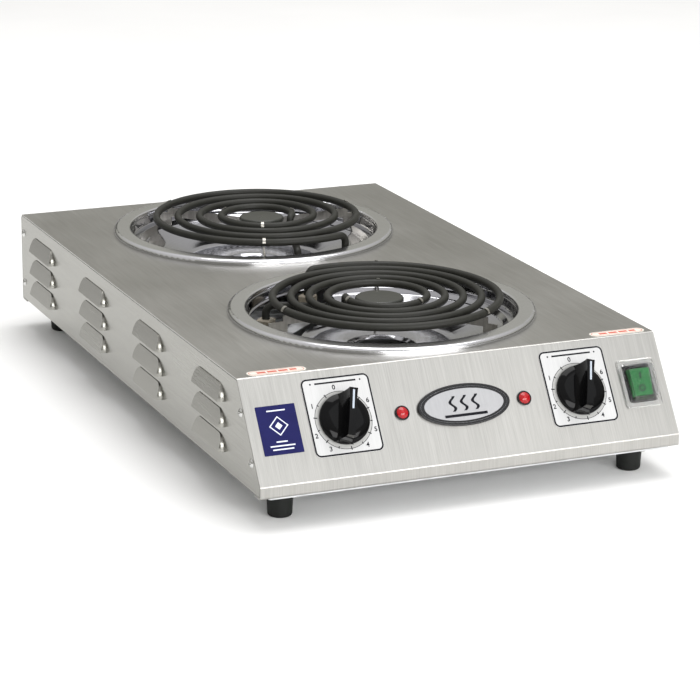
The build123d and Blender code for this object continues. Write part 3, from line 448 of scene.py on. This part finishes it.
def lathe(work, profile, place, count=96):
    """Adds a closed profile (r, z) turned about the place's own Z axis."""
    rows = []
    for i in range(count):
        a = 2 * math.pi * i / count
        c, s = math.cos(a), math.sin(a)
        rows.append([work.verts.new(place @ Vector((r * c, r * s, z))) for r, z in profile])
    size = len(profile)
    for i in range(count):
        first, second = rows[i], rows[(i + 1) % count]
        for k in range(size):
            n = (k + 1) % size
            work.faces.new((first[k], second[k], second[n], first[n]))


# ---- knobs ------------------------------------------------------------------------------------
KNOB_R = 20.0 * MM
KNOB_TOP = 22.6 * MM
KNOB_TURN = math.radians(-15.0)
KNOB_SMOOTH = 34.0
EDGE_ROUND = 0.35 * MM
# Closed profile of the skirt: (radius, height) in millimetres, outwards and back.
SKIRT = (
    (3.1, 1.2), (19.7, 1.2), (20.0, 1.5), (20.0, 4.2), (19.7, 4.75), (19.1, 5.1), (17.2, 6.2),
    (14.6, 7.0), (10.0, 7.5), (3.1, 7.6),
)
# Grip: half widths in millimetres at the crest and the base, with what each end adds or takes.
CREST_HALF, CREST_AT_POINTER, CREST_AT_FOOT = 2.7, 0.7, 0.3
BASE_HALF, BASE_TAPER = 9.6, 1.8
FLANK_CURVE = 2.3
WING_LOW = 3.0 * MM
WING_HALF = 18.6 * MM
CREST_DROP = 1.2 * MM
FOOT_FLARE = 0.9 * MM
POINTER_LEAN = 0.5 * MM
WING_STATIONS = 32
WING_STEPS = 14


def wing_section(s):
    """Points (x, y, z) of the grip's section at station s, from -1 (foot) to 1 (pointer end)."""
    to_pointer, to_foot = max(s, 0.0), max(-s, 0.0)
    crest = (CREST_HALF + CREST_AT_POINTER * to_pointer ** 2 + CREST_AT_FOOT * to_foot ** 2) * MM
    base = (BASE_HALF - BASE_TAPER * s * s) * MM
    rise = KNOB_TOP - CREST_DROP * to_foot ** 2 - WING_LOW
    side = []
    for step in range(WING_STEPS + 1):
        t = step / WING_STEPS
        x = crest + (base - crest) * (1 - t) ** FLANK_CURVE
        reach = WING_HALF + (FOOT_FLARE * (1 - t) ** 3 if s < 0 else POINTER_LEAN * t)
        side.append((x, s * reach, WING_LOW + rise * t))
    return [(-x, y, z) for x, y, z in side] + [(x, y, z) for x, y, z in reversed(side)]


def knob_piece(side, place):
    """Black knob: a turned skirt and a tall pinched grip with a flared foot."""
    work = bmesh.new()
    lathe(work, [(r * MM, z * MM) for r, z in SKIRT], place)
    rows = []
    for i in range(WING_STATIONS + 1):
        s = -math.cos(math.pi * i / WING_STATIONS)
        rows.append([work.verts.new(place @ Vector(p)) for p in wing_section(s)])
    size = len(rows[0])
    for first, second in zip(rows, rows[1:]):
        for k in range(size):
            n = (k + 1) % size
            work.faces.new((first[k], first[n], second[n], second[k]))
    work.faces.new(rows[0])
    work.faces.new(list(reversed(rows[-1])))
    piece = finish_piece(
        f"knob_{side}_grip", work, side + "_control", materials["knob_black"],
        KNOB_SMOOTH, ["knob_" + side],
    )
    rounding = piece.modifiers.new("rounding", "BEVEL")
    rounding.width = EDGE_ROUND
    rounding.segments = 3
    rounding.limit_method = "ANGLE"
    rounding.angle_limit = math.radians(40)


# ---- printed detail -----------------------------------------------------------------------------
# Print stands this far out of its plate, and its root goes this far in.
PRINT = 0.05 * MM
PRINT_ROOT = -0.1 * MM

PLATE_THICKNESS = 0.4 * MM
# Border of the dial plate: (inset over both sides, corner) of its outer and inner line, in mm.
BORDER = ((0.3, 4.7), (2.9, 3.4))
DIAL_R = 23.0 * MM
SCALE_HALF = 0.2 * MM
TICKS = 12
TICK_START, TICK_TURN = 118, 26.0
TICK_WIDTH = 0.8 * MM
NUMBER_R = 26.4 * MM
NUMBER_DEGREES = (95, 150, 203, 235, 305, 337, 30)
DIGIT_SIZE = 5.2 * MM
DIGIT_WEIGHT = 0.13 * MM
HEADING_DROP = 4.6 * MM
HEADING_LENGTH, HEADING_WIDTH = 34.0 * MM, 1.3 * MM
DOT_R = 0.7 * MM
DOT_REACH = 20.5 * MM

BADGE_RISE = 0.31 * MM
BADGE_BORDER = ((36.4, 14.4), (33.6, 12.9))
WAVE_STEPS = 28
WAVE_TURNS = 1.25
# Heat waves on the badge, in millimetres: spacing, swing, foot, length and half width.
WAVE_PITCH, WAVE_SWING, WAVE_FOOT, WAVE_LENGTH, WAVE_HALF = 9.6, 1.9, -5.0, 12.4, 1.25

LABEL_RISE = 0.25 * MM
DIAMOND_Y = 3.0 * MM
# Diamond on the blue label, side lengths in millimetres: outer line, inner line, middle.
DIAMOND = (11.0, 9.4, 4.2)
LABEL_BARS = ((15.0, 15.2), (9.0, -9.4), (20.0, -12.6), (17.0, -15.4))

TOP_LABEL_INSET = 24.0 * MM
DASHES = ((-12.4, 7.0), (-3.6, 7.6), (5.4, 7.6), (13.6, 5.6))
DASH_HEIGHT = 3.6 * MM

# The rocker's face leans by its rise over its length.
ROCKER_TILT = math.atan2(3.4, 22.0)
ROCKER_FACE = 4.3 * MM
ROCKER_ROOT = -0.2 * MM


def digits(side, marks, place):
    """Small numbers laid on a plate; each mark is (text, x, y)."""
    work = bmesh.new()
    for text, x, y in marks:
        curve = bpy.data.curves.new("digit", "FONT")
        curve.body = text
        curve.size = DIGIT_SIZE
        curve.align_x = "CENTER"
        curve.align_y = "CENTER"
        curve.extrude = PRINT / 2
        curve.offset = DIGIT_WEIGHT
        holder = bpy.data.objects.new("digit", curve)
        bpy.context.scene.collection.objects.link(holder)
        bpy.context.view_layer.update()
        shape = bpy.data.meshes.new_from_object(holder)
        shape.transform(place @ Matrix.Translation((x, y, 0)))
        work.from_mesh(shape)
        bpy.data.objects.remove(holder)
        bpy.data.curves.remove(curve)
        bpy.data.meshes.remove(shape)
    bmesh.ops.remove_doubles(work, verts=work.verts, dist=1e-7)
    finish_piece(f"dial_numbers_{side}", work, "base", ink)


def dial_print(side):
    """Border, scale ring, ticks, heading bar and numbers of one dial plate."""
    plate_low, plate_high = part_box("dial_plate_" + side)
    x, v, _ = panel_coords((plate_low + plate_high) / 2)
    knob_x = Vector(joint(f"knob_{side}_turn")["pos_m"]).x
    width = plate_high.x - plate_low.x
    height = (plate_high.z - plate_low.z - PLATE_THICKNESS * NORMAL.z) / UPSLOPE.z
    work = bmesh.new()
    outer, inner = (
        round_rect(width - inset * MM, height - inset * MM, corner * MM)
        for inset, corner in BORDER
    )
    loop_band(work, outer, inner, PRINT_ROOT, PRINT, on_panel(x, v, PLATE_THICKNESS))
    dial = on_panel(knob_x, 0.0, PLATE_THICKNESS)
    ring_out, ring_in = circle(DIAL_R + SCALE_HALF), circle(DIAL_R - SCALE_HALF)
    loop_band(work, ring_out, ring_in, PRINT_ROOT, PRINT, dial)
    reach = DIAL_R - 0.4 * MM
    for step in range(TICKS):
        angle = math.radians(TICK_START + step * TICK_TURN)
        long = (3.0 if step % 2 == 0 else 1.8) * MM
        tick = bar(long, TICK_WIDTH, reach * math.cos(angle), reach * math.sin(angle), angle)
        prism(work, tick, PRINT_ROOT, PRINT, dial)
    head = v + height / 2 - HEADING_DROP
    heading = on_panel(x, head, PLATE_THICKNESS)
    prism(work, bar(HEADING_LENGTH, HEADING_WIDTH), PRINT_ROOT, PRINT, heading)
    for dot in (-1, 1):
        spot = on_panel(x + dot * DOT_REACH, head, PLATE_THICKNESS)
        prism(work, circle(DOT_R, 20), PRINT_ROOT, PRINT, spot)
    finish_piece("dial_print_" + side, work, "base", ink)
    band = bmesh.new()
    loop_band(band, ring_in, circle(KNOB_R - 1.5 * MM), PRINT_ROOT, PRINT * 0.5, dial)
    finish_piece("dial_band_" + side, band, "base", band_ink)
    marks = []
    for number, degrees in enumerate(NUMBER_DEGREES):
        angle = math.radians(degrees)
        marks.append((str(number), NUMBER_R * math.cos(angle), NUMBER_R * math.sin(angle)))
    digits(side, marks, dial)


def badge_icon():
    """Plain sign on the badge, three heat waves over a bar, and the badge's dark border."""
    low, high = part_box("badge_face")
    x, v, h = panel_coords((low + high) / 2)
    place = on_panel(x, v, h + BADGE_RISE)
    work = bmesh.new()
    for wave in range(-1, 2):
        middle = []
        for i in range(WAVE_STEPS + 1):
            swing = WAVE_SWING * MM * math.sin(2 * math.pi * i / WAVE_STEPS * WAVE_TURNS)
            y = (WAVE_FOOT + WAVE_LENGTH * i / WAVE_STEPS) * MM
            middle.append((wave * WAVE_PITCH * MM + swing, y))
        left = [(px - WAVE_HALF * MM, py) for px, py in middle]
        right = [(px + WAVE_HALF * MM, py) for px, py in reversed(middle)]
        bottom, top = (
            [work.verts.new(place @ Vector((px, py, z))) for px, py in left + right]
            for z in (PRINT_ROOT, PRINT)
        )
        size = len(left)
        total = 2 * size
        for i in range(size - 1):
            k, m, n = i + 1, total - 2 - i, total - 1 - i
            work.faces.new((top[i], top[k], top[m], top[n]))
            work.faces.new((bottom[i], bottom[n], bottom[m], bottom[k]))
        for i in range(total):
            k = (i + 1) % total
            work.faces.new((bottom[i], bottom[k], top[k], top[i]))
    prism(work, bar(36.0 * MM, 2.2 * MM, 0, -8.4 * MM), PRINT_ROOT, PRINT, place)
    finish_piece("badge_icon", work, "base", ink)
    border = bmesh.new()
    outer, inner = (oval(a * MM, b * MM) for a, b in BADGE_BORDER)
    loop_band(border, outer, inner, PRINT_ROOT, PRINT, place)
    finish_piece("badge_border", border, "base", materials["switch_black"])


def label_print():
    """Pale diamond and plain bars on the blue label."""
    x, v, _ = panel_coords(box_centre("front_label"))
    place = on_panel(x, v, LABEL_RISE)
    work = bmesh.new()
    outer, inner, core = (bar(a * MM, a * MM, 0, DIAMOND_Y, math.pi / 4) for a in DIAMOND)
    loop_band(work, outer, inner, PRINT_ROOT, PRINT, place)
    prism(work, core, PRINT_ROOT, PRINT, place)
    for width, y in LABEL_BARS:
        prism(work, bar(width * MM, 1.0 * MM, 0, y * MM), PRINT_ROOT, PRINT, place)
    finish_piece("front_label_print", work, "base", pale_ink)


def top_print():
    """Red dashes and a thin red border on the two pale labels of the top sheet."""
    low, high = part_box("top_labels")
    middle_y = (low.y + high.y) / 2
    outer = round_rect(45.0 * MM, 8.8 * MM, 4.3 * MM)
    inner = round_rect(44.0 * MM, 7.8 * MM, 3.8 * MM)
    work = bmesh.new()
    for x in (low.x + TOP_LABEL_INSET, high.x - TOP_LABEL_INSET):
        place = Matrix.Translation((x, middle_y, high.z))
        for dash, width in DASHES:
            prism(work, bar(width * MM, DASH_HEIGHT, dash * MM, 0), PRINT_ROOT, PRINT, place)
        loop_band(work, outer, inner, PRINT_ROOT, PRINT * 0.6, place)
    finish_piece("top_label_print", work, "base", red_ink)


def rocker_marks():
    """On and off signs on the rocker: a bar and a ring."""
    point = joint("rocker_tilt")["pos_m"]
    pivot = on_panel(point[0], panel_coords(Vector(point))[1], ROCKER_FACE)
    face = pivot @ Matrix.Rotation(ROCKER_TILT, 4, "X")
    work = bmesh.new()
    prism(work, bar(1.6 * MM, 5.2 * MM, 0, 5.0 * MM), ROCKER_ROOT, PRINT, face)
    ring_place = face @ Matrix.Translation((0, -5.2 * MM, 0))
    loop_band(work, circle(2.9 * MM), circle(1.7 * MM), ROCKER_ROOT, PRINT, ring_place)
    finish_piece("rocker_marks", work, "rocker", ink)


for side in SIDES:
    knob_x = joint(f"knob_{side}_turn")["pos_m"][0]
    knob_piece(side, on_panel(knob_x, 0.0) @ Matrix.Rotation(KNOB_TURN, 4, "Z"))
    dial_print(side)
badge_icon()
label_print()
top_print()
rocker_marks()


# ---- floor, light and camera --------------------------------------------------------------------
def plain_floor():
    """Pale floor with a faint mottle."""
    s = Shader("pale_floor", Specular_IOR_Level=0.15)
    mottle = s.noise(s.place(), 3.0, 4.0)
    s.colour(mottle, (0.86, 0.86, 0.855), (0.89, 0.89, 0.885))
    s.gloss(mottle, 0.8, 0.9)
    work = bmesh.new()
    bmesh.ops.create_grid(work, x_segments=8, y_segments=8, size=14.0)
    mesh = bpy.data.meshes.new("floor")
    work.to_mesh(mesh)
    work.free()
    floor = bpy.data.objects.new("floor", mesh)
    floor.location = (0, 6.0, 0)
    bpy.context.scene.collection.objects.link(floor)
    coat(floor, s.material)


def softbox(name, place, aim, width, height, power, colour=(1, 1, 1)):
    """Rectangular soft light aimed at a point."""
    data = bpy.data.lights.new(name, "AREA")
    data.shape = "RECTANGLE"
    data.size = width
    data.size_y = height
    data.energy = power
    data.color = colour
    light = bpy.data.objects.new(name, data)
    light.location = place
    light.rotation_mode = "QUATERNION"
    light.rotation_quaternion = (Vector(aim) - Vector(place)).to_track_quat("-Z", "Y")
    bpy.context.scene.collection.objects.link(light)


# Height of each stop, its grey, and its blue as a share of the grey.
SKY_STOPS = (
    (0.0, 0.10, 0.88), (0.13, 0.16, 0.88), (0.24, 0.46, 0.86), (0.45, 0.60, 0.96), (1.0, 0.90, 1.0),
)


def sky():
    """Studio surround: dark at the horizon and below it, bright overhead."""
    world = bpy.data.worlds.new("studio")
    bpy.context.scene.world = world
    world.use_nodes = True
    nodes, links = world.node_tree.nodes, world.node_tree.links
    source = nodes.new("ShaderNodeTexCoord")
    split = nodes.new("ShaderNodeSeparateXYZ")
    ramp = nodes.new("ShaderNodeValToRGB")
    links.new(source.outputs["Generated"], split.inputs[0])
    links.new(split.outputs["Z"], ramp.inputs["Fac"])
    elements = ramp.color_ramp.elements
    for index, (position, grey, blue) in enumerate(SKY_STOPS):
        element = elements[index] if index < 2 else elements.new(position)
        element.position = position
        element.color = (grey, grey * 0.99, grey * blue, 1)
    links.new(ramp.outputs["Color"], nodes["Background"].inputs["Color"])
    nodes["Background"].inputs["Strength"].default_value = 1.0


CAMERA_PLACE = (-0.9093, -2.1829, 0.7382)
CAMERA_TURN = (23.15, 16.47, 0.487)
CAMERA_LENS = 147.2


def photo_camera():
    """Long lens from the front left, a little above the object."""
    pan, tilt, roll = (math.radians(a) for a in CAMERA_TURN)
    flat = math.cos(tilt)
    forward = Vector((math.sin(pan) * flat, math.cos(pan) * flat, -math.sin(tilt)))
    level = Vector((math.cos(pan), -math.sin(pan), 0))
    upright = level.cross(forward)
    right = level * math.cos(roll) + upright * math.sin(roll)
    up = upright * math.cos(roll) - level * math.sin(roll)
    data = bpy.data.cameras.new("camera")
    data.lens = CAMERA_LENS
    data.sensor_width = 36.0
    data.clip_start = 0.05
    data.clip_end = 60.0
    camera = bpy.data.objects.new("camera", data)
    camera.rotation_mode = "QUATERNION"
    camera.rotation_quaternion = Matrix((right, up, -forward)).transposed().to_quaternion()
    camera.location = CAMERA_PLACE
    bpy.context.scene.collection.objects.link(camera)
    bpy.context.scene.camera = camera


plain_floor()
sky()
softbox("key", (0.85, -1.75, 1.85), (0, -0.25, 0.08), 1.5, 1.3, 5.5, (0.94, 0.97, 1.0))
softbox("overhead", (0.4, 0.35, 2.5), (0.05, 0.1, 0), 2.0, 1.9, 46)
softbox("front_fill", (0.3, -2.7, 0.75), (0, -0.35, 0), 2.8, 1.0, 62)
photo_camera()
bpy.context.scene.view_settings.view_transform = "Standard"
